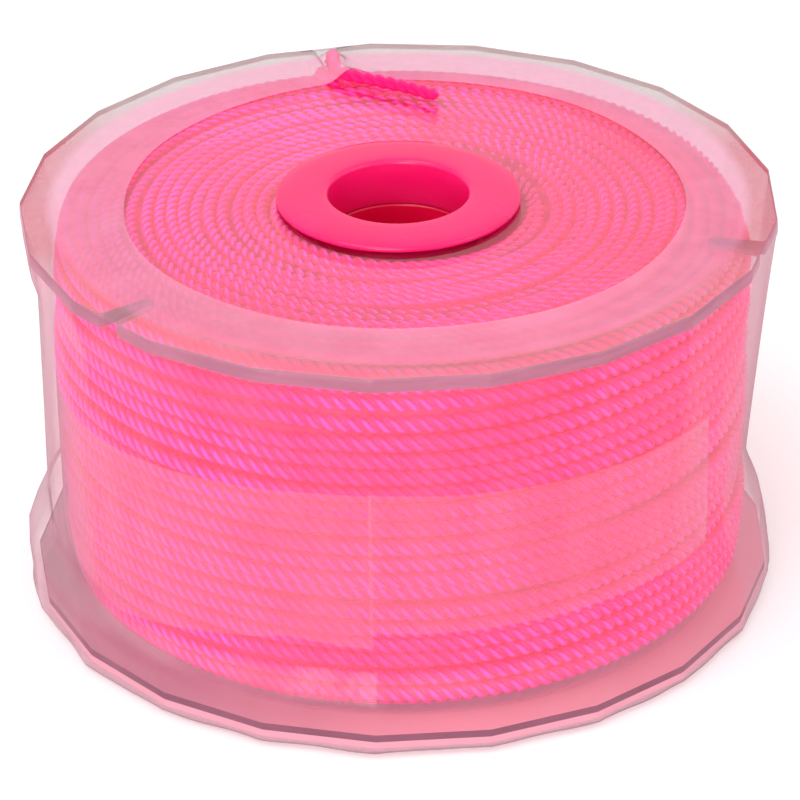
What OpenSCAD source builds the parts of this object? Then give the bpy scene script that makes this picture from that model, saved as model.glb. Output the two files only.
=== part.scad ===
// Fishing line spool: twisted line wound between two clear plates that turn on a flanged hub bush.
// Millimetres, +Z up. The origin is at the middle of the base, on the spool's own axis.

/* [Plates] */
// Diameter of each plate across its corners
plate_d = 76; // [72:1:80]
// Number of straight edges round each plate
plate_sides = 21; // [18:3:24]
// Thickness of each plate
plate_t = 1.5; // [1.2:0.1:1.8]
// Height from the top of the lower plate to the top of the upper plate
plate_pitch = 39.5; // [36:0.1:42]
// Outer diameter of the barrel that the line is wound on
barrel_d = 22; // [21:0.5:24]

/* [Notches] */
// Number of line-holding notches in the upper plate
notch_count = 3; // [1:1:3]
// Direction of the first notch, in degrees from +X
notch_angle = 102; // [98:1:106]
// How far each notch runs in from the plate's corner circle
notch_len = 6; // [5:0.5:7]
// Width of the notch at the plate's edge
notch_mouth_w = 3.2; // [2.8:0.1:3.6]
// Width of the notch at its round inner end
notch_end_w = 1.4; // [1:0.1:1.4]

/* [Hub] */
// Diameter of the hub's flanges
hub_flange_d = 24.7; // [24:0.1:26]
// Thickness of the hub's flanges
hub_flange_t = 0.8; // [0.7:0.1:1]
// Diameter of the spindle bore
bore_d = 14.1; // [13:0.1:14.5]
// Depth of the upper hub's sleeve below the top of its flange
sleeve_depth = 5; // [4:0.5:8]

/* [Line] */
// Diameter of the twisted line
line_d = 1.5; // [1.3:0.1:1.5]
// Outer diameter of the winding at its middle
winding_d = 70; // [66:1:70]

/* [Wrapping] */
// Diameter of the round opening in the film, above and below
film_opening_d = 56.4; // [50:0.2:60]
// Height of the label strip
label_h = 17; // [12:1:20]

/* [Hidden] */
$fn = 96;

run_gap = 0.08;                  // radial clearance between hub bush and spool bore
end_gap = 0.1;                   // axial clearance between hub flange and plate
skin_gap = 0.05;                 // clearance between parts that only lie beside each other
overcut = 1;                     // how far a cutting shape reaches past what it cuts

plate_r = plate_d / 2;
lower_z = hub_flange_t + end_gap;             // underside of the lower plate
winding_z = lower_z + plate_t;                // top of the lower plate
top_z = winding_z + plate_pitch;              // top of the upper plate
upper_z = top_z - plate_t;                    // underside of the upper plate
full_h = top_z + end_gap + hub_flange_t;      // top of the upper hub flange
mid_z = (winding_z + upper_z) / 2;

bore_r = bore_d / 2;
hub_flange_r = hub_flange_d / 2;
hub_edge_r = 0.35;               // rounding of the hub flange's rim
bore_edge_r = 0.5;               // rounding of the bore's mouth
sleeve_wall = 1.2;
tube_wall = 0.95;
sleeve_r = bore_r + sleeve_wall; // outer radius of the upper hub's sleeve
bush_r = sleeve_r + tube_wall;   // outer radius of the lower hub's tube
spool_bore_r = bush_r + run_gap;
barrel_r = barrel_d / 2;
lap_r = (spool_bore_r + barrel_r) / 2;        // where the two barrel halves lap
lap_h = 4;
notch_corner_r = 0.5;

winding_r = winding_d / 2;
shoulder_drop = 0.8;             // how much smaller the winding is near each plate
foot_drop = 1.4;                 // how much its lowest turns step in again
shoulder_r = winding_r - shoulder_drop;
shoulder_h = 2.2;

film_t = 0.2;
film_stand = 1.6;                // how far the film stands off the winding
film_edge_h = 0.5;               // straight part of the film beside each plate's edge
film_slope_h = 6;                // height over which the film runs in to its waist
film_rim_r = plate_r + skin_gap;
film_waist_r = winding_r + film_stand;
label_stand = 0.35;              // how far the label stands off the winding
label_r = winding_r + label_stand;
label_t = 0.15;
label_z = 10;                    // height of the label's lower edge
film_opening_r = film_opening_d / 2;
tail_gap_w = 2.8;                // width of the film's gap beside the loose end
tail_gap_h = 1.5;                // height of the cut that makes it
mouth_gap = [27.6, 9.2];          // radius where the gap over the notch starts, and its length
loose_gap_len = 8;               // length of the gap beside the end that lies on the plate

// Route of the loose end as [distance from the axis, direction from +X, height]: it leaves the
// winding, climbs round its side, goes up through the first notch and lies on the upper plate
tail_r = line_d / 2;
tail_route = [
    [34.4, 137, 28.9], [34.9, 134, 29.2], [35.5, 130.5, 29.7], [35.9, 127, 30.3],
    [35.9, 123, 31.2], [35.9, 119, 32.3], [35.9, 115, 33.6], [35.9, 111, 35.1],
    [35.9, 107.7, 36.5], [35.7, 105.2, 37.8], [35.3, 103.4, 39.0], [34.8, 102.4, 40.1],
    [34.4, 102, 41.2], [33.8, 102, 42.25], [32.9, 102, 43.1], [31.7, 102.3, 43.3],
    [30.5, 102.4, 42.9], [29.4, 101.6, 42.7], [28.4, 99.6, 42.7], [27.4, 96.8, 42.7],
    [26.5, 93.7, 42.7], [25.6, 90.4, 42.7], [24.8, 86.9, 42.7], [23.9, 83.1, 42.7],
    [23.1, 79.4, 42.7]
];
tail_points = [for (p = tail_route) [p[0] * cos(p[1]), p[0] * sin(p[1]), p[2]]];
tail_sides = 8;

// Corners of one plate, with a corner on -X
function plate_corner(i) = 180 + i * 360 / plate_sides;
function plate_outline() =
    [for (i = [0 : plate_sides - 1]) plate_r * [cos(plate_corner(i)), sin(plate_corner(i))]];

// Unit vector, and the direction of a route at its point i
function unit(v) = v / norm(v);
function route_dir(route, i) =
    unit(route[min(i + 1, len(route) - 1)] - route[max(i - 1, 0)]);

// Two directions square to a route's own direction
function side_of(dir) = unit(cross(dir, abs(dir[2]) > 0.8 ? [0, 1, 0] : [0, 0, 1]));

// A sideways direction carried along the route without twist
function carry(side, dir) = unit(side - (side * dir) * dir);
function side_at(route, i) =
    i == 0 ? side_of(route_dir(route, 0))
           : carry(side_at(route, i - 1), route_dir(route, i));

module swept_tube(route, radius, sides) {
    rings = [for (i = [0 : len(route) - 1])
        let (dir = route_dir(route, i), side = side_at(route, i), other = cross(dir, side))
        for (k = [0 : sides - 1])
            route[i] + radius * (cos(k * 360 / sides) * side + sin(k * 360 / sides) * other)];
    last = (len(route) - 1) * sides;
    faces = concat(
        [[for (k = [0 : sides - 1]) k]],
        [for (i = [0 : len(route) - 2], k = [0 : sides - 1])
            let (a = i * sides, n = (k + 1) % sides)
            each [[a + k, a + sides + n, a + n], [a + k, a + sides + k, a + sides + n]]],
        [[for (k = [sides - 1 : -1 : 0]) last + k]]
    );
    polyhedron(points = rings, faces = faces, convexity = 4);
}

// Outline of one notch: a tapered cut with a round inner end and rounded corners at its mouth
module notch_outline() {
    end_x = plate_r - notch_len + notch_end_w / 2;
    mouth_x = plate_r * cos(180 / plate_sides) - notch_corner_r;
    translate([end_x, 0]) circle(d = notch_end_w, $fn = 24);
    polygon([
        [end_x, -notch_end_w / 2], [mouth_x, -notch_mouth_w / 2 + notch_corner_r],
        [plate_r + overcut, -notch_mouth_w / 2 - notch_corner_r],
        [plate_r + overcut, notch_mouth_w / 2 + notch_corner_r],
        [mouth_x, notch_mouth_w / 2 - notch_corner_r], [end_x, notch_end_w / 2]
    ]);
}

module plate(notches) {
    linear_extrude(plate_t)
        difference() {
            polygon(plate_outline());
            circle(r = spool_bore_r);
            for (i = [0 : 1 : notches - 1])
                rotate(notch_angle + i * 360 / notch_count) notch_outline();
        }
}

module ring(outer_r, inner_r, height) {
    difference() {
        cylinder(r = outer_r, h = height);
        translate([0, 0, -overcut]) cylinder(r = inner_r, h = height + 2 * overcut);
    }
}

module upper_spool_half() color([0.93, 0.90, 0.92, 0.4]) {
    translate([0, 0, upper_z]) plate(notch_count);
    translate([0, 0, mid_z + lap_h / 2])
        ring(barrel_r, spool_bore_r, upper_z - mid_z - lap_h / 2);
    translate([0, 0, mid_z - lap_h / 2]) ring(lap_r, spool_bore_r, lap_h);
}

module lower_spool_half() color([0.93, 0.90, 0.92, 0.4]) {
    translate([0, 0, lower_z]) plate(0);
    translate([0, 0, winding_z])
        ring(barrel_r, spool_bore_r, mid_z - lap_h / 2 - winding_z);
    translate([0, 0, mid_z - lap_h / 2]) ring(barrel_r, lap_r, lap_h);
}

// Section of a bush flange of radius r, with its rounded rim and rounded bore mouth, top at y = 0
module flange_section() {
    difference() {
        translate([bore_r, -hub_flange_t])
            square([hub_flange_r - bore_r, hub_flange_t]);
        translate([hub_flange_r - hub_edge_r, -hub_edge_r])
            difference() {
                square(hub_edge_r + overcut);
                circle(r = hub_edge_r, $fn = 48);
            }
        translate([bore_r + bore_edge_r, -bore_edge_r])
            difference() {
                translate([-bore_edge_r - overcut, 0]) square(bore_edge_r + overcut);
                circle(r = bore_edge_r, $fn = 48);
            }
    }
}

module upper_hub() color([0.98, 0.22, 0.50]) {
    translate([0, 0, full_h])
        rotate_extrude() {
            flange_section();
            translate([bore_r, -sleeve_depth])
                square([sleeve_r - bore_r, sleeve_depth - bore_edge_r]);
        }
}

module lower_hub() color([0.98, 0.22, 0.50]) {
    socket_z = full_h - sleeve_depth;
    tube_top = full_h - hub_flange_t - end_gap / 2;
    rotate_extrude() {
        mirror([0, 1]) flange_section();
        translate([bore_r, bore_edge_r]) square([bush_r - bore_r, socket_z - bore_edge_r]);
        translate([sleeve_r, socket_z]) square([bush_r - sleeve_r, tube_top - socket_z]);
    }
}

module line_winding() color([1.0, 0.32, 0.60])
    rotate_extrude()
        polygon([
            [barrel_r + skin_gap, winding_z + skin_gap],
            [shoulder_r - foot_drop, winding_z + skin_gap],
            [shoulder_r, winding_z + shoulder_h],
            [winding_r, winding_z + 3 * shoulder_h],
            [winding_r, upper_z - 2 * shoulder_h],
            [shoulder_r, upper_z - skin_gap],
            [barrel_r + skin_gap, upper_z - skin_gap]
        ]);

module line_tail() color([1.0, 0.32, 0.60])
    swept_tube(tail_points, tail_r, tail_sides);

// Section of the film from its lower opening, round the side, to its upper opening
module film_section() {
    outer = [
        [film_opening_r, lower_z - film_t - skin_gap],
        [film_rim_r + film_t, lower_z - film_t - skin_gap],
        [film_rim_r + film_t, winding_z + film_edge_h],
        [film_waist_r + film_t, winding_z + film_slope_h],
        [film_waist_r + film_t, upper_z - film_slope_h],
        [film_rim_r + film_t, upper_z - film_edge_h],
        [film_rim_r + film_t, top_z + film_t + skin_gap],
        [film_opening_r, top_z + film_t + skin_gap]
    ];
    inner = [
        [film_opening_r, top_z + skin_gap],
        [film_rim_r, top_z + skin_gap],
        [film_rim_r, upper_z - film_edge_h],
        [film_waist_r, upper_z - film_slope_h],
        [film_waist_r, winding_z + film_slope_h],
        [film_rim_r, winding_z + film_edge_h],
        [film_rim_r, lower_z - skin_gap],
        [film_opening_r, lower_z - skin_gap]
    ];
    polygon(concat(outer, inner));
}

// One straight gap in the film's top, from the point p along the direction dir
module film_gap(p, dir, back, length) {
    translate([p[0], p[1], top_z - film_edge_h])
        rotate(dir)
            translate([-back, -tail_gap_w / 2, 0]) cube([length, tail_gap_w, tail_gap_h]);
}

// The film lies beside the loose end: two straight gaps leave room where that crosses the plate
module shrink_film() color([0.95, 0.90, 0.93, 0.3]) {
    over_notch = tail_route[13][1];
    turn = tail_points[17];
    run = tail_points[len(tail_points) - 1] - turn;
    difference() {
        rotate_extrude() film_section();
        film_gap([0, 0], over_notch, -mouth_gap[0], mouth_gap[1]);
        film_gap(turn, atan2(run[1], run[0]), overcut, loose_gap_len);
    }
}

module label_band() color([1.0, 0.80, 0.86, 0.5])
    translate([0, 0, label_z]) ring(label_r + label_t, label_r, label_h);

upper_spool_half();
lower_spool_half();
upper_hub();
lower_hub();
line_winding();
line_tail();
shrink_film();
label_band();
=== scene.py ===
import math

import bpy
import numpy as np
from mathutils import Matrix, Vector


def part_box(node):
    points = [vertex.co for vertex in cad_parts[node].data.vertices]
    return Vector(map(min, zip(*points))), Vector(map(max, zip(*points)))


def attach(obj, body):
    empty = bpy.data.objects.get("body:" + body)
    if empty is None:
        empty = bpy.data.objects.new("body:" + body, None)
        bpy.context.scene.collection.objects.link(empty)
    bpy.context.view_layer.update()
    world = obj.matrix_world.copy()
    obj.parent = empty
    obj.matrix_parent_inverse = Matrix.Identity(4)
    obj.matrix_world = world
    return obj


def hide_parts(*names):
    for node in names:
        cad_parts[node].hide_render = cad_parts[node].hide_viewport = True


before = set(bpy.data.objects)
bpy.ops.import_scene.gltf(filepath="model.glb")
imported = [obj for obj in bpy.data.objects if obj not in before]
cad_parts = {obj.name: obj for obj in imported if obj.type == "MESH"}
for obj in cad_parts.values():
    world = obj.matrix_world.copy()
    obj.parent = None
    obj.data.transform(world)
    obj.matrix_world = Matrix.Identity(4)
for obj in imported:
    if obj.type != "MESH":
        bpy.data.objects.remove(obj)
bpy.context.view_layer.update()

MM = 0.001
TAU = 2 * math.pi


# ---------------------------------------------------------------- sizes, in millimetres
def span(node):
    """Lowest and highest corner of a CAD node, in millimetres."""
    low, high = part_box(node)
    return np.array(low) / MM, np.array(high) / MM


UPPER, LOWER = span("upper_spool_half"), span("lower_spool_half")
HUB_TOP, HUB_LOW = span("upper_hub"), span("lower_hub")
PLATE_R = -UPPER[0][0]                  # the plates have a corner on -X
PLATE_SIDES = 21
PLATE_T = 1.5
TOP_Z = UPPER[1][2]                     # top of the upper plate
UNDER_TOP_Z = TOP_Z - PLATE_T
BASE_Z = LOWER[0][2]                    # underside of the lower plate
FLOOR_OF_WINDING = BASE_Z + PLATE_T
BACK_NOTCH = 102                        # direction of the notch that the line runs through, in degrees

BARREL_R = 11.0
BORE_R = 7.05
HUB_TOP_Z = HUB_TOP[1][2]
HUB_BASE_Z = HUB_LOW[0][2]
FLANGE_R = HUB_TOP[1][0]
FLANGE_T = 0.8
FLANGE_EDGE_R = 0.36                    # rounding of the flange's rim
FLANGE_DROOP = 0.2                      # how far the flange's face falls off towards its rim
MOUTH_R = 0.55                          # rounding of the bore's mouth
SLEEVE_DEPTH = 5.0                      # where the upper hub's sleeve ends, seen as a seam in the bore

LINE_D = 1.5
LAY = 4.05                              # length of one full twist of the line's three strands
WINDING_LEAN = 0.2                      # how far the outer turns sit towards +X
SIDE_TURNS = 19
SIDE_THICK, SIDE_WIDE = 0.90, 1.36      # the side turns are pressed flat against the drum
FACE_THICK, FACE_WIDE = 1.15, 0.98      # the end turns press together sideways
FACE_PITCH = 0.88 * LINE_D
INNERMOST_TURN_R = 11.75
SLIT_AZ, SLIT_Z = 250, 33.4             # where two side turns stand apart

FILM_OPENING_R = 28.2
FILM_GAP = 0.14                         # how far the film stands off the plates' edges
FILM_COLS_PER_SIDE = 30


# ---------------------------------------------------------------- camera
def camera():
    eye, aim = Vector((0, -389.8, 233.9)) * MM, Vector((-0.07, 0, 18.75)) * MM
    roll = math.radians(-0.65)
    ahead = (aim - eye).normalized()
    right = ahead.cross(Vector((0, 0, 1))).normalized()
    up = right.cross(ahead)
    x = math.cos(roll) * right + math.sin(roll) * up
    y = -math.sin(roll) * right + math.cos(roll) * up
    data = bpy.data.cameras.new("camera")
    data.lens, data.sensor_width = 194.3, 36
    data.clip_start, data.clip_end = 0.01, 20
    cam = bpy.data.objects.new("camera", data)
    cam.matrix_world = Matrix.Translation(eye) @ Matrix((x, y, -ahead)).transposed().to_4x4()
    bpy.context.scene.collection.objects.link(cam)
    bpy.context.scene.camera = cam


# ---------------------------------------------------------------- mesh helpers
def make_mesh(name, points, quads, material, body, attributes=None):
    """A smooth quad mesh from arrays in millimetres, riding on a CAD body."""
    mesh = bpy.data.meshes.new(name)
    mesh.vertices.add(len(points))
    mesh.vertices.foreach_set("co", (np.asarray(points) * MM).astype(np.float32).ravel())
    quads = np.asarray(quads, np.int32)
    mesh.loops.add(quads.size)
    mesh.loops.foreach_set("vertex_index", quads.ravel())
    mesh.polygons.add(len(quads))
    mesh.polygons.foreach_set("loop_start", np.arange(0, quads.size, 4, dtype=np.int32))
    mesh.update(calc_edges=True)
    mesh.validate()
    mesh.shade_smooth()
    for key, values in (attributes or {}).items():
        layer = mesh.attributes.new(key, "FLOAT", "POINT")
        layer.data.foreach_set("value", np.asarray(values, np.float32).ravel())
    mesh.materials.append(material)
    obj = bpy.data.objects.new(name, mesh)
    bpy.context.scene.collection.objects.link(obj)
    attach(obj, body)
    return obj


def grid_quads(rows, cols, wrap_rows=False, wrap_cols=False):
    """Quads of a grid of points, with its last row or column joined to the first when it wraps."""
    r = np.arange(rows if wrap_rows else rows - 1)[:, None]
    c = np.arange(cols if wrap_cols else cols - 1)[None, :]
    r2, c2 = (r + 1) % rows, (c + 1) % cols
    return np.stack([r * cols + c, r * cols + c2, r2 * cols + c2, r2 * cols + c], -1).reshape(-1, 4)


def turned_over(quads):
    return quads[:, ::-1]


def polar(r, az, z):
    return np.stack(np.broadcast_arrays(r * np.cos(az), r * np.sin(az), z), -1)


def lathe(name, profile, material, body, segments=192):
    """A closed ring whose section is the closed outline profile, as [radius, height] pairs."""
    p = np.array(profile)
    az = np.arange(segments)[:, None] * TAU / segments
    points = polar(p[None, :, 0], az, p[None, :, 1]).reshape(-1, 3)
    return make_mesh(name, points, grid_quads(segments, len(p), True, True), material, body)


def arc(cx, cz, r, start, end, steps=7):
    angles = np.radians(np.linspace(start, end, steps))
    return [[cx + r * math.cos(a), cz + r * math.sin(a)] for a in angles]


def ripple(az, along, terms, low, high, along_rate, seed):
    """A smooth random wave round the spool: low to high whole crests in each term, so that it closes."""
    gen = np.random.default_rng(seed)
    total = 0
    for _ in range(terms):
        crests = gen.integers(low, high + 1)
        total = total + np.cos(crests * az + gen.uniform(-1, 1) * along_rate * along + gen.uniform(0, TAU))
    return total / math.sqrt(terms)


def wander(turns, amplitude, harmonics, seed):
    """Unevenness of a winding: a different smooth wave on each turn, as a function of turn count."""
    gen = np.random.default_rng(seed)
    whole = int(turns.max()) + 2
    total = np.zeros_like(turns)
    for h in range(1, harmonics + 1):
        for wave in (np.cos, np.sin):
            per_turn = gen.normal(0, 1 / h, whole)
            total += np.interp(turns, np.arange(whole), per_turn) * wave(h * TAU * turns)
    return amplitude * total


def bump_at(x, centre, width):
    return np.exp(-(((x - centre) / width) ** 2))


def ease(x, low, high):
    t = np.clip((x - low) / (high - low), 0, 1)
    return t * t * (3 - 2 * t)


# ---------------------------------------------------------------- material helpers
def srgb(r, g, b):
    """A colour given as 0-255 display values, as linear RGBA."""
    values = [c / 255 for c in (r, g, b)]
    return [c / 12.92 if c <= 0.04045 else ((c + 0.055) / 1.055) ** 2.4 for c in values] + [1]


class Nodes:
    """Short names for making a material's nodes."""

    def __init__(self, name):
        self.material = bpy.data.materials.new(name)
        self.material.use_nodes = True
        self.tree = self.material.node_tree
        self.tree.nodes.clear()
        self.out = self.tree.nodes.new("ShaderNodeOutputMaterial")

    def feed(self, socket, value):
        """Links a socket to another node's output, or sets it to a constant."""
        if isinstance(value, bpy.types.NodeSocket):
            self.tree.links.new(value, socket)
        else:
            socket.default_value = value

    def add(self, kind, inputs=None, **settings):
        node = self.tree.nodes.new("ShaderNode" + kind)
        for key, value in settings.items():
            setattr(node, key, value)
        for key, value in (inputs or {}).items():
            self.feed(node.inputs[key], value)
        return node

    def math(self, operation, a, b=0.0, clamp=False):
        return self.add("Math", {0: a, 1: b}, operation=operation, use_clamp=clamp).outputs[0]

    def times(self, a, b):
        return self.math("MULTIPLY", a, b)

    def size(self, a):
        return self.math("ABSOLUTE", a)

    def attribute(self, name):
        return self.add("Attribute", attribute_name=name).outputs["Fac"]

    def position(self, scale=(1, 1, 1)):
        """Object coordinates in millimetres, stretched by scale."""
        here = self.add("TexCoord").outputs["Object"]
        return self.add("Mapping", {"Vector": here, "Scale": [s / MM for s in scale]}).outputs["Vector"]

    def place(self):
        """The three object coordinates in millimetres, one by one."""
        return self.add("SeparateXYZ", {0: self.position()}).outputs

    def radius(self):
        """Distance from the spool's axis, in millimetres."""
        flat = self.add("VectorMath", {0: self.position(), 1: (1, 1, 0)}, operation="MULTIPLY").outputs[0]
        return self.add("VectorMath", {0: flat}, operation="LENGTH").outputs["Value"]

    def upright(self):
        """How far the surface faces up (1) or down (-1)."""
        return self.add("SeparateXYZ", {0: self.add("NewGeometry").outputs["Normal"]}).outputs[2]

    def edge_on(self, power):
        """Nothing where a thin skin is seen square on, rising to 1 where it is seen along its surface."""
        return self.math("POWER", self.add("LayerWeight", {"Blend": 0.5}).outputs["Facing"], power)

    def noise(self, vector, scale, detail=3.0, rough=0.5):
        node = self.add("TexNoise", {"Vector": vector, "Scale": scale, "Detail": detail, "Roughness": rough})
        return node.outputs["Fac"]

    def ramp(self, value, low, high, to_low=0.0, to_high=1.0):
        spread = {"Value": value, "From Min": low, "From Max": high, "To Min": to_low, "To Max": to_high}
        return self.add("MapRange", spread, interpolation_type="SMOOTHSTEP").outputs["Result"]

    def blend(self, factor, a, b):
        node = self.add("Mix", data_type="RGBA")
        for socket, value in ((0, factor), (6, a), (7, b)):
            self.feed(node.inputs[socket], value)
        return node.outputs[2]

    def bump(self, height, strength, distance, normal=None):
        inputs = {"Height": height, "Strength": strength, "Distance": distance * MM}
        if normal is not None:
            inputs["Normal"] = normal
        return self.add("Bump", inputs).outputs["Normal"]

    def mix(self, factor, a, b):
        node = self.add("MixShader", {0: factor})
        self.tree.links.new(a.outputs[0], node.inputs[1])
        self.tree.links.new(b.outputs[0], node.inputs[2])
        return node

    def done(self, shader):
        self.tree.links.new(shader.outputs[0], self.out.inputs["Surface"])
        return self.material


# ---------------------------------------------------------------- materials
def line_colour(n, across, filaments):
    """Neon pink, with a painted lilac highlight along the crest of each strand and painted shade, redder, in
    the grooves and the gaps.
    """
    fuzz = n.noise(n.position(), 0.35, 2.0)
    patches = n.ramp(n.noise(n.position((1, 1, 1.6)), 0.055, 1.0), 0.36, 0.6, 0.3, 1.0)
    # painted highlight: lilac along each strand's crest, in patches, kept off the side that faces in
    crest = n.ramp(n.size(n.math("ADD", across, 0.2)), 0.65, 0.05, 0.0, 0.9)
    crest = n.times(crest, n.ramp(n.attribute("buried"), 0.22, 0.06))
    painted_highlight = n.times(n.times(crest, patches), n.ramp(filaments, 0.3, 0.65, 0.4, 1.0))
    # painted shade: redder towards the grooves between the strands
    groove_shade = n.times(n.ramp(n.size(across), 0.55, 1.0), 0.85)
    # painted shade: redder where the line faces in, under its neighbouring turns
    buried = n.ramp(n.attribute("buried"), 0.25, 0.5, 0.0, 0.85)
    colour = n.blend(n.ramp(fuzz, 0.3, 0.7), srgb(255, 30, 104), srgb(255, 50, 120))
    colour = n.blend(painted_highlight, colour, srgb(250, 104, 246))
    colour = n.blend(groove_shade, colour, srgb(246, 14, 98))
    return n.blend(buried, colour, srgb(238, 6, 92))


def line_material():
    """Fluorescent twisted nylon, with fine filaments along each strand."""
    n = Nodes("line_nylon")
    across, along = n.attribute("across"), n.attribute("along")
    spread = n.add("CombineXYZ", {0: n.times(across, 9.0), 1: n.times(along, 0.55)}).outputs[0]
    filaments = n.noise(spread, 1.0, 2.0, 0.6)
    skin = {
        "Base Color": line_colour(n, across, filaments),
        "Roughness": 0.33,
        "Specular IOR Level": 0.8,
        "Specular Tint": srgb(250, 120, 255),
        "Sheen Weight": 0.15,
        "Sheen Roughness": 0.35,
        "Sheen Tint": srgb(250, 130, 255),
        # painted glow: the emission stands in for the nylon's fluorescence and shines with no lamp
        "Emission Color": (1.0, 0.0, 0.08, 1),
        "Emission Strength": 0.26,
        "Normal": n.bump(filaments, 0.5, 0.12),
    }
    return n.done(n.add("BsdfPrincipled", skin))


def core_material():
    """The line of the layers underneath, seen only in the gaps, in darker reds as painted shade and with a
    painted glow.
    """
    n = Nodes("line_nylon_under")
    rows = n.noise(n.position((0.4, 0.4, 2.0)), 1.0)
    skin = {
        # painted shade: darker reds than the outer line, for the gaps between turns
        "Base Color": n.blend(n.ramp(rows, 0.3, 0.7), srgb(190, 4, 74), srgb(222, 16, 96)),
        "Roughness": 0.6,
        # painted glow: the emission stands in for the nylon's fluorescence
        "Emission Color": (1.0, 0.0, 0.1, 1),
        "Emission Strength": 0.25,
        "Normal": n.bump(rows, 0.6, 0.3),
    }
    return n.done(n.add("BsdfPrincipled", skin))


def hub_material(name, dark, light):
    """Moulded pink plastic with a soft gloss and a faint flow grain."""
    n = Nodes(name)
    grain = n.noise(n.position(), 1.6, 4.0, 0.6)
    flow = n.noise(n.position((0.12, 0.12, 0.4)), 1.0, 2.0)
    skin = {
        "Base Color": n.blend(n.ramp(flow, 0.3, 0.7), dark, light),
        "Roughness": n.ramp(flow, 0.2, 0.8, 0.2, 0.3),
        "Specular IOR Level": 0.4,
        "Subsurface Weight": 0.2,
        "Subsurface Radius": (1.0, 0.25, 0.35),
        "Subsurface Scale": 0.0012,
        "Normal": n.bump(grain, 0.12, 0.05),
    }
    return n.done(n.add("BsdfPrincipled", skin))


def clear_plastic(n):
    """Clear moulded styrene with flow waves and handling marks."""
    waves = n.noise(n.position((0.08, 0.08, 0.3)), 1.0, 2.0)
    marks = n.noise(n.position((1.0, 0.25, 1.0)), 0.8, 5.0, 0.7)
    skin = {
        "Base Color": srgb(250, 240, 245),
        "Roughness": n.ramp(marks, 0.45, 0.75, 0.02, 0.09),
        "IOR": 1.45,
        "Transmission Weight": 1.0,
        "Normal": n.bump(waves, 0.25, 0.15),
    }
    return n.add("BsdfPrincipled", skin)


def clear_material(name, rim_tone, rim_share, pale_below, glow):
    """A clear plate whose cut-off rim scatters light, shown as a painted tone: the line's pink reflected in the
    edge, with painted shade.

    The rim's tone turns pale below a height, a painted pale pink glow; glow is how much painted pink reflection
    of the line its outer face shows.
    """
    n = Nodes(name)
    x, _, z = n.place()[:3]
    upright = n.upright()
    streak = n.noise(n.position((0.15, 0.15, 1.5)), 1.0, 3.0)
    # painted reflection and shade: the rim's streaked mauve
    tone = n.blend(n.ramp(streak, 0.3, 0.7), srgb(*[0.9 * c for c in rim_tone]), srgb(*rim_tone))
    # painted glow: pale pink below pale_below
    tone = n.blend(n.ramp(z, pale_below, pale_below - 0.1), tone, srgb(248, 186, 198))
    rim = n.times(n.ramp(n.size(upright), 0.25, 0.6, rim_share, 0.0), n.ramp(n.radius(), 20, 28))
    # painted reflection of the line's pink, with painted shade on -X and painted light on +X
    reflected = n.blend(n.ramp(x, -28, 8), srgb(178, 126, 138), srgb(255, 186, 194))
    # the painted glow goes on up-facing faces past the winding
    face = n.times(n.times(n.ramp(upright, 0.5, 0.9), n.ramp(n.radius(), 33.0, 34.5)), glow)
    body = n.mix(face, clear_plastic(n), n.add("BsdfDiffuse", {"Color": reflected}))
    body = n.mix(rim, body, n.add("BsdfDiffuse", {"Color": tone}))
    through = n.add("BsdfTransparent", {"Color": srgb(250, 243, 247)})
    return n.done(n.mix(n.add("LightPath").outputs["Is Shadow Ray"], body, through))


def past_winding(n, flat):
    """Where flat film has no line under it: how far, how much haze it loses there, and its colour, painted
    light: pink reflection of the line on the sides, grey shade at the front and back.
    """
    _, y, z = n.place()[:3]
    upper = n.ramp(z, 20, 30)
    sides = n.times(n.ramp(y, -22, -8), upper)
    back = n.times(n.ramp(y, 8, 26), upper)
    past = n.times(n.ramp(n.radius(), 34.4, 36.0), flat)
    lost = n.times(n.times(past, 0.6), n.math("SUBTRACT", 1.0, sides))
    # painted reflection and shade: pink from the line on the sides, grey at the front and back
    colour = n.blend(sides, srgb(226, 214, 216), srgb(222, 112, 124))
    return past, lost, n.blend(back, colour, srgb(212, 220, 212))


def film_material(name, side_haze, top_haze, haze_glow, glass):
    """Thin wrapping: see-through, hazier where it lies flat or is seen edge-on, with glossy wrinkles; the haze
    is real, its pink is a painted glow of the line under it.
    """
    n = Nodes(name)
    soft = n.noise(n.position((0.5, 0.5, 0.16)), 0.5, 3.0)
    fine = n.noise(n.position((0.2, 0.2, 1.4)), 1.0, 3.0)
    normal = n.bump(fine, 0.08, 0.1, n.bump(soft, 0.25, 0.5))
    flat = n.ramp(n.size(n.upright()), 0.3, 0.8)
    past, lost, past_painted_light = past_winding(n, flat)

    edge_on = n.edge_on(3.0)
    wall_haze = n.math("ADD", side_haze, n.times(edge_on, 0.3))
    haze = n.add("Mix", {0: flat, 2: wall_haze, 3: top_haze}).outputs[0]
    haze = n.times(haze, n.math("SUBTRACT", 1.0, lost))
    cover = n.times(haze, n.ramp(soft, 0.25, 0.8, 0.88, 1.15))
    # painted shade: the milk turns greyer where the film is seen edge-on
    wall = n.blend(edge_on, haze_glow, srgb(226, 172, 184))
    colour = n.blend(past, n.blend(flat, wall, haze_glow), past_painted_light)

    clear = n.add("BsdfTransparent", {"Color": glass})
    # real haze, coloured pink as a painted glow of the line under it
    milk = n.add("BsdfDiffuse", {"Color": colour, "Normal": normal})
    shine = n.add("BsdfGlossy", {"Color": srgb(196, 168, 176), "Roughness": 0.16, "Normal": normal})
    glint = n.math("ADD", n.times(n.edge_on(4.0), 0.75), 0.04, True)
    return n.done(n.mix(glint, n.mix(cover, clear, milk), shine))


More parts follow.
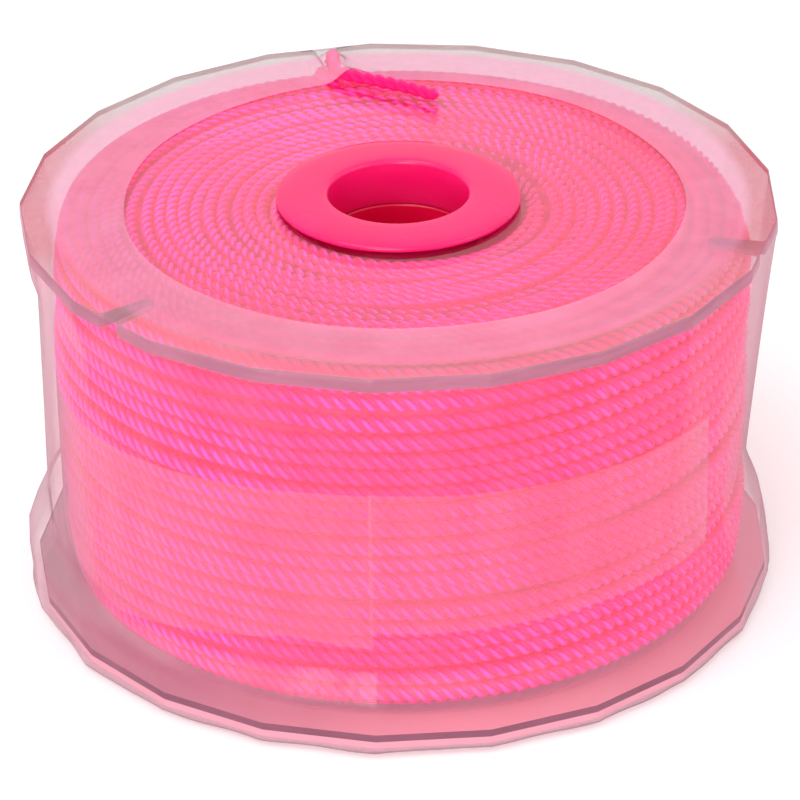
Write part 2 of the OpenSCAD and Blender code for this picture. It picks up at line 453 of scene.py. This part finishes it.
def floor_material():
    n = Nodes("studio_paper")
    grain = n.noise(n.position((0.02, 0.02, 0.02)), 1.0)
    skin = {
        "Base Color": n.blend(grain, (0.93, 0.93, 0.93, 1), (0.96, 0.96, 0.96, 1)),
        "Roughness": 0.6,
        "Specular IOR Level": 0.2,
        "Emission Color": (1, 1, 1, 1),
        "Emission Strength": 0.12,
    }
    return n.done(n.add("BsdfPrincipled", skin))


# ---------------------------------------------------------------- the twisted line
STRANDS = 3
STRAND_STEPS = 7                        # points across one strand
RING = STRANDS * STRAND_STEPS           # points round the line
RINGS_PER_LAY = 12


def strand_radius(across):
    """Distance from the line's centre to its skin, across one of the strands (-1 to 1)."""
    centre, strand = 0.24 * LINE_D, 0.26 * LINE_D
    delta = across * math.pi / STRANDS
    return centre * np.cos(delta) + np.sqrt(strand**2 - (centre * np.sin(delta)) ** 2)


def twist(path, outward, thick, wide):
    """Points and attributes of the twisted line along path; thick and wide flatten its section."""
    step = np.linalg.norm(np.diff(path, axis=0), axis=1)
    along = np.concatenate([[0], np.cumsum(step)])
    ahead = np.gradient(path, axis=0)
    ahead /= np.linalg.norm(ahead, axis=1)[:, None]
    side = np.cross(ahead, outward)
    side /= np.linalg.norm(side, axis=1)[:, None]
    out = np.cross(side, ahead)
    place = np.arange(RING)
    across = 2 * (place % STRAND_STEPS) / STRAND_STEPS - 1
    angle = (place[None, :] * TAU / RING) + TAU * along[:, None] / LAY
    radius = strand_radius(across)[None, :]
    points = (path[:, None, :] + (thick * radius * np.cos(angle))[..., None] * out[:, None, :]
              + (wide * radius * np.sin(angle))[..., None] * side[:, None, :])
    shade = {"across": np.tile(across, len(path)), "along": np.repeat(along, RING),
             "buried": np.clip(0.5 - 0.5 * np.cos(angle).ravel(), 0, 1)}
    return points.reshape(-1, 3), shade


def line_pieces(name, path, outward, thick, wide, material, pieces):
    """The twisted line along path as several pieces that meet ring to ring."""
    points, shade = twist(path, outward, thick, wide)
    cuts = np.linspace(0, len(path) - 1, pieces + 1).astype(int)
    for i, (a, b) in enumerate(zip(cuts[:-1], cuts[1:])):
        part = slice(a * RING, (b + 1) * RING)
        attributes = {key: values[part] for key, values in shade.items()}
        obj = make_mesh(f"{name}_{i + 1}", points[part], grid_quads(b - a + 1, RING, False, True),
                        material, "spool", attributes)


def outer_radius(z):
    """Outer radius of the winding's skin at a height: it steps in towards each plate."""
    heights = [FLOOR_OF_WINDING, 3.4, 4.6, 7.0, 24.0, 35.5, 38.6, UNDER_TOP_Z]
    radii = [33.4, 34.1, 34.7, 35.1, 35.2, 35.1, 34.7, 34.0]
    return np.interp(z, heights, radii)


def side_turns(material):
    """The outermost layer: turns lying side by side up the drum, unevenly pressed."""
    middle_r = 34.4
    lowest = FLOOR_OF_WINDING + 0.5 * SIDE_WIDE * LINE_D
    highest = UNDER_TOP_Z - 0.5 * SIDE_WIDE * LINE_D - 0.05
    turns = np.linspace(0, SIDE_TURNS, int(SIDE_TURNS * TAU * middle_r / LAY * RINGS_PER_LAY))
    z = lowest + (highest - lowest) * turns / SIDE_TURNS
    held_at_ends = np.sin(math.pi * np.clip(turns / SIDE_TURNS, 0, 1)) ** 0.3
    z = z + wander(turns, 0.27, 4, 11) * held_at_ends
    slit = bump_at((turns * 360) % 360, SLIT_AZ, 6) * np.exp(-np.abs(z - SLIT_Z) / 2.5)
    z = z + 0.45 * slit * np.sign(z - SLIT_Z)
    r = outer_radius(z) - 0.5 * SIDE_THICK * LINE_D + np.clip(wander(turns, 0.2, 5, 12), -0.45, 0.3)
    az = TAU * turns
    path = polar(r, az, z)
    path[:, 0] += WINDING_LEAN
    line_pieces("line_side_turns", path, polar(1.0, az, 0), SIDE_THICK, SIDE_WIDE, material, 5)


def face_turns(name, z, up, r_end, material, seed):
    """The end turns of the layers, seen through a plate as rings."""
    r_start = INNERMOST_TURN_R
    count = (r_end - r_start) / FACE_PITCH
    length = count * TAU * (r_start + r_end) / 2
    even = np.linspace(0, 1, int(length / LAY * RINGS_PER_LAY))
    # equal steps of length along a spiral: the radius grows with the root of the share done
    r = np.sqrt(r_start**2 + (r_end**2 - r_start**2) * even)
    turns = (r - r_start) / (r_end - r_start) * count
    r = r + wander(turns, 0.16, 4, seed)
    heights = z + up * np.minimum(wander(turns, 0.16, 5, seed + 1), 0.18)
    path = polar(r, TAU * turns, heights)
    outward = np.broadcast_to([0.0, 0.0, float(up)], path.shape)
    line_pieces(name, path, outward, FACE_THICK, FACE_WIDE, material, 3)


def under_layers():
    """A plain body for the layers under the outer turns."""
    heights = np.linspace(FLOOR_OF_WINDING + 0.7, UNDER_TOP_Z - 0.7, 40)
    inset = 0.55 * LINE_D
    outline = [[outer_radius(h) - inset, h] for h in heights]
    outline += [[BARREL_R + 0.05, heights[-1]], [BARREL_R + 0.05, heights[0]]]
    core = lathe("line_under_layers", outline, core_material(), "spool")
    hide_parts("line_winding")


def winding(nylon):
    side_turns(nylon)
    depth = 0.5 * FACE_THICK * LINE_D + 0.2       # from a plate's face to the middle of the end turns
    face_turns("line_top_turns", UNDER_TOP_Z - depth, 1, 34.0, nylon, 21)
    face_turns("line_base_turns", FLOOR_OF_WINDING + depth, -1, 33.2, nylon, 31)
    under_layers()


# ---------------------------------------------------------------- the loose end
TAIL_ROUTE = (                          # distance from the axis, direction in degrees, height
    (34.4, 137, 28.9), (35.5, 130.5, 29.7), (35.9, 123, 31.2), (35.9, 115, 33.6),
    (35.9, 107.7, 36.5), (35.3, 103.4, 39.0), (34.4, 102, 41.2), (33.8, 102, 42.25),
    (32.9, 102, 43.1), (31.7, 102.3, 43.3), (30.5, 102.4, 42.9), (29.4, 101.6, 42.7),
    (28.4, 99.6, 42.7), (26.5, 93.7, 42.7), (24.8, 86.9, 42.7), (23.1, 79.4, 42.7),
)
ROUNDED_END = ((0, 0.4), (1, 0.8), (-1, 0.35), (-2, 0.8))     # ring, and how much it shrinks


def smooth_route(route, step):
    """An even, smooth curve through the route's points, and its length."""
    knots = np.array([[r * math.cos(math.radians(a)), r * math.sin(math.radians(a)), z] for r, a, z in route])
    ends = np.vstack([2 * knots[0] - knots[1], knots, 2 * knots[-1] - knots[-2]])
    curve = []
    for a, b, c, d in zip(ends[:-3], ends[1:-2], ends[2:-1], ends[3:]):
        for t in np.linspace(0, 1, 24, endpoint=False):
            curve.append(0.5 * (2 * b + (c - a) * t + (2 * a - 5 * b + 4 * c - d) * t**2
                                + (3 * b - a - 3 * c + d) * t**3))
    curve = np.array(curve + [knots[-1]])
    reach = np.concatenate([[0], np.cumsum(np.linalg.norm(np.diff(curve, axis=0), axis=1))])
    even = np.linspace(0, reach[-1], int(reach[-1] / step))
    return np.stack([np.interp(even, reach, curve[:, i]) for i in range(3)], -1), reach[-1]


def end_caps(rings):
    """Quads that close the first and the last ring of the line."""
    firsts = (0, (rings - 1) * RING)
    return [[first, first + k, first + k + 1, first + k + 2] for first in firsts for k in range(1, RING - 2, 2)]


def loose_end(nylon):
    path, length = smooth_route(TAIL_ROUTE, LAY / 20)
    outward = path / np.linalg.norm(path, axis=1)[:, None]
    points, shade = twist(path, outward, 1.0, 1.0)
    points = points.reshape(len(path), RING, 3)
    for i, scale in ROUNDED_END:
        points[i] = path[i] + (points[i] - path[i]) * scale
    quads = np.vstack([grid_quads(len(path), RING, False, True), end_caps(len(path))])
    obj = make_mesh("line_loose_end", points.reshape(-1, 3), quads, nylon, "spool", shade)
    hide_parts("line_tail")
    return path


# ---------------------------------------------------------------- plates and hub
def plates():
    """The CAD plates keep their shape and get a clear material, with painted rim tones."""
    # painted reflection: the upper rim's mauve is the line's pink seen in the clear edge
    upper = clear_material("clear_styrene_upper", (206, 128, 154), 0.72, BASE_Z, 0.0)
    # painted shade: the lower rim's dark band, with painted pale pink glow at its foot and a half share of
    # painted pink glow on its top face past the winding
    lower = clear_material("clear_styrene_lower", (110, 62, 80), 0.92, FLOOR_OF_WINDING - 0.74, 0.5)
    for node, material in (("upper_spool_half", upper), ("lower_spool_half", lower)):
        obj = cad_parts[node]
        obj.data.materials.clear()
        obj.data.materials.append(material)


def flange_outline(face_z, up, depth, sleeve_r):
    """Section of a flanged sleeve: rim, slightly domed face, bore mouth, and a sleeve of that depth."""
    points = [[FLANGE_R - 0.15, -FLANGE_T]]
    points += arc(FLANGE_R - FLANGE_EDGE_R, -FLANGE_EDGE_R - FLANGE_DROOP, FLANGE_EDGE_R, -40, 80)
    points += [[FLANGE_R - 1.6, -0.02], [BORE_R + MOUTH_R + 0.8, 0.0]]
    points += arc(BORE_R + MOUTH_R, -MOUTH_R, MOUTH_R, 95, 180)
    points += [[BORE_R, -depth + 0.25], [BORE_R + 0.07, -depth], [sleeve_r, -depth]]
    points += [[sleeve_r, -FLANGE_T]]
    return [[r, face_z + up * z] for r, z in points]


def hub():
    pink = hub_material("hub_plastic_upper", srgb(246, 18, 104), srgb(250, 28, 112))
    # painted shade: the lower hub is a darker copy of the upper hub's pink, for the shade down the bore
    shaded_pink = hub_material("hub_plastic_lower", srgb(222, 4, 62), srgb(230, 8, 70))
    upper_outline = flange_outline(HUB_TOP_Z, 1, SLEEVE_DEPTH, 8.2)
    lower_outline = flange_outline(HUB_BASE_Z, -1, HUB_TOP_Z - SLEEVE_DEPTH - 0.05, 9.15)
    for name, outline, material, node in (("hub_upper", upper_outline, pink, "upper_hub"),
                                          ("hub_lower", lower_outline, shaded_pink, "lower_hub")):
        obj = lathe(name, outline, material, "hub")
        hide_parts(node)


# ---------------------------------------------------------------- wrapping film
def plate_edge(az):
    """Distance from the axis to the plates' straight-edged rim in a direction."""
    half = math.pi / PLATE_SIDES
    apothem = PLATE_R * math.cos(half)
    return apothem / np.cos((az - math.pi) % (2 * half) - half)


def rim_stand(az):
    """How far the film stands off the lower plate's rim: most on -X, least on +X."""
    return 0.65 - 0.3 * np.cos(az)


def pinch(az, share):
    """How far the film runs in from the rim at a share of the height from the lower plate (0 to 1)."""
    right = 0.5 + 0.5 * np.cos(az)
    steady = 1.25 * ease(share, 0.08, 0.18) * (1 - ease(share, 0.84, 1.0))
    slope = 2.3 * ease(share, 0.02, 0.32) * np.clip((1.02 - share) / 0.66, 0, 1)
    return steady * (1 - right) + slope * right - rim_stand(az) * (1 - ease(share, 0.07, 0.2))


def film_top(az, edge):
    """Rows from the round upper opening to the upper plate's edge."""
    uneven = 0.5 * np.cos(az) + 0.15 * np.cos(3 * az + 1) + 0.08 * np.cos(7 * az)
    puckers = 0.05 * (1 + ripple(az, 0, 6, 9, 34, 0, 3))
    rows = []
    for share in np.linspace(0, 1, 16):
        r = FILM_OPENING_R + (edge - 0.2 - FILM_OPENING_R) * share + (1 - share) * uneven
        rows.append((r, TOP_Z + 0.10 + puckers * share * (1.3 - share)))
    return rows


def film_rim(edge, dip):
    """Rows over the upper plate's edge and down it, drawn in by dip at the back notch."""
    rows = [(edge - 0.15 + 0.3 * turn - 0.6 * dip, TOP_Z + 0.12 - 0.14 * turn) for turn in (0.35, 0.8)]
    return rows + [(edge + FILM_GAP - 0.6 * dip, TOP_Z - PLATE_T * share) for share in (0.5, 1.0)]


def film_wall(az, edge, dip):
    """Rows down the side: the plate's straight edges round off towards the waist, with fine creases."""
    rows = []
    for share in np.linspace(0.985, 0.0, 60):
        waist = math.sin(math.pi * share) ** 0.6
        r = edge * (1 - 0.6 * waist) + 0.6 * waist * PLATE_R * 0.995 + FILM_GAP
        r = r - pinch(az, share) + 0.07 * waist * ripple(az, share, 7, 14, 46, 9, 5) - 0.5 * dip * share**8
        rows.append((r, FLOOR_OF_WINDING + (UNDER_TOP_Z - FLOOR_OF_WINDING) * share))
    return rows


def film_foot(az, edge):
    """Rows flaring past the lower plate's edge and turning in under it to the lower opening."""
    rows = []
    for share, proud in ((0.3, 1.0), (0.8, 0.9), (1.15, 0.6)):
        flare = proud * rim_stand(az) + 0.14 * ripple(az, 0, 5, 8, 30, 0, 8)
        rows.append((edge + 0.1 + flare, FLOOR_OF_WINDING - PLATE_T * share))
    opening = FILM_OPENING_R + 1.0 + 0.4 * np.cos(2 * az)
    for share in np.linspace(0.02, 1, 10):
        rows.append((edge - 0.2 + (opening - edge) * share, BASE_Z - 0.12))
    return rows


def drape_over(points, tail):
    """Lifts the film's upper face where it lies on the loose end of line."""
    above = tail[tail[:, 2] > TOP_Z + 0.1]
    flat = points.reshape(-1, 3)
    for i in np.where(flat[:, 2] > TOP_Z - 0.4)[0]:
        gap = np.hypot(above[:, 0] - flat[i, 0], above[:, 1] - flat[i, 1])
        lift = (above[:, 2] + 0.5 * LINE_D + 0.12 - flat[i, 2]) * np.exp(-((gap / 1.25) ** 2))
        flat[i, 2] += max(0.0, lift.max())
    return flat.reshape(points.shape)


def film(tail):
    # painted glow: the film's haze is pink from the line under it
    skin = film_material("shrink_film", 0.13, 0.45, srgb(255, 172, 204), srgb(248, 242, 244))
    cols = PLATE_SIDES * FILM_COLS_PER_SIDE
    az = np.arange(cols) * TAU / cols
    edge = plate_edge(az)
    dip = bump_at(np.degrees(az), BACK_NOTCH, 3.0)
    rows = film_top(az, edge) + film_rim(edge, dip) + film_wall(az, edge, dip) + film_foot(az, edge)
    points = drape_over(np.stack([polar(r, az, z) for r, z in rows]), tail)
    quads = turned_over(grid_quads(len(rows), cols, False, True))
    obj = make_mesh("shrink_film_wrap", points.reshape(-1, 3), quads, skin, "spool")
    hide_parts("shrink_film")


# ---------------------------------------------------------------- label
# edges of the label's two ends, as (direction in degrees, height)
LONG_END_LOW = ((40, 9.0), (150, 2.8), (190, 3.2), (251, 11.2), (265, 10.6))
LONG_END_HIGH = ((40, 27.0), (150, 24.5), (205, 25.0), (253, 27.6), (265, 27.8))
SHORT_END_LOW = ((264.5, 12.5), (328, 12.5))
SHORT_END_HIGH = ((264.5, 27.99), (328, 27.0))


def label_strip(name, low, high, stand, material):
    """A clear strip that stands off the winding, between a low and a high edge."""
    start, end = low[0][0], low[-1][0]
    az = np.linspace(math.radians(start), math.radians(end), int((end - start) * 1.5))
    bottom, top = (np.interp(np.degrees(az), *zip(*edge)) for edge in (low, high))
    rows = []
    for share in np.linspace(0, 1, 24):
        z = bottom + (top - bottom) * share
        rows.append(polar(outer_radius(z) + stand + 0.05 * ripple(az, share, 5, 10, 30, 8, 15), az, z))
    points = np.stack(rows)
    points[..., 0] += WINDING_LEAN
    quads = grid_quads(*points.shape[:2])
    return make_mesh(name, points.reshape(-1, 3), quads, material, "spool")


def label():
    # painted glow: the label's haze is pink from the line under it
    clear = film_material("label_strip", 0.15, 0.15, srgb(255, 184, 210), srgb(252, 246, 249))
    long_end = label_strip("label_long_end", LONG_END_LOW, LONG_END_HIGH, 0.25, clear)
    label_strip("label_short_end", SHORT_END_LOW, SHORT_END_HIGH, 0.4, clear)
    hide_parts("label_band")


# ---------------------------------------------------------------- studio
SOFTBOXES = (                           # name, place in metres, width in metres, watts
    ("key", (-0.35, -0.35, 0.75), 0.55, 2.2),
    ("front", (-0.2, -0.95, 0.32), 0.45, 3.6),
    ("fill", (0.7, -0.25, 0.4), 0.5, 0.8),
)


def studio():
    bpy.ops.mesh.primitive_plane_add(size=6, location=(0, 0, 0))
    floor = bpy.context.object
    floor.name = "floor"
    floor.data.materials.append(floor_material())
    world = bpy.data.worlds.new("studio")
    world.use_nodes = True
    back = world.node_tree.nodes["Background"]
    back.inputs["Color"].default_value = (1, 1, 1, 1)
    back.inputs["Strength"].default_value = 0.86
    bpy.context.scene.world = world
    for name, place, width, watts in SOFTBOXES:
        data = bpy.data.lights.new(name, "AREA")
        data.energy, data.size = watts, width
        light = bpy.data.objects.new(name, data)
        light.location = place
        light.rotation_euler = (Vector((0, 0, 0.02)) - Vector(place)).to_track_quat("-Z", "Y").to_euler()
        bpy.context.scene.collection.objects.link(light)
    bpy.context.scene.view_settings.view_transform = "Standard"


camera()
nylon = line_material()
tail_path = loose_end(nylon)
winding(nylon)
plates()
hub()
label()
film(tail_path)
studio()
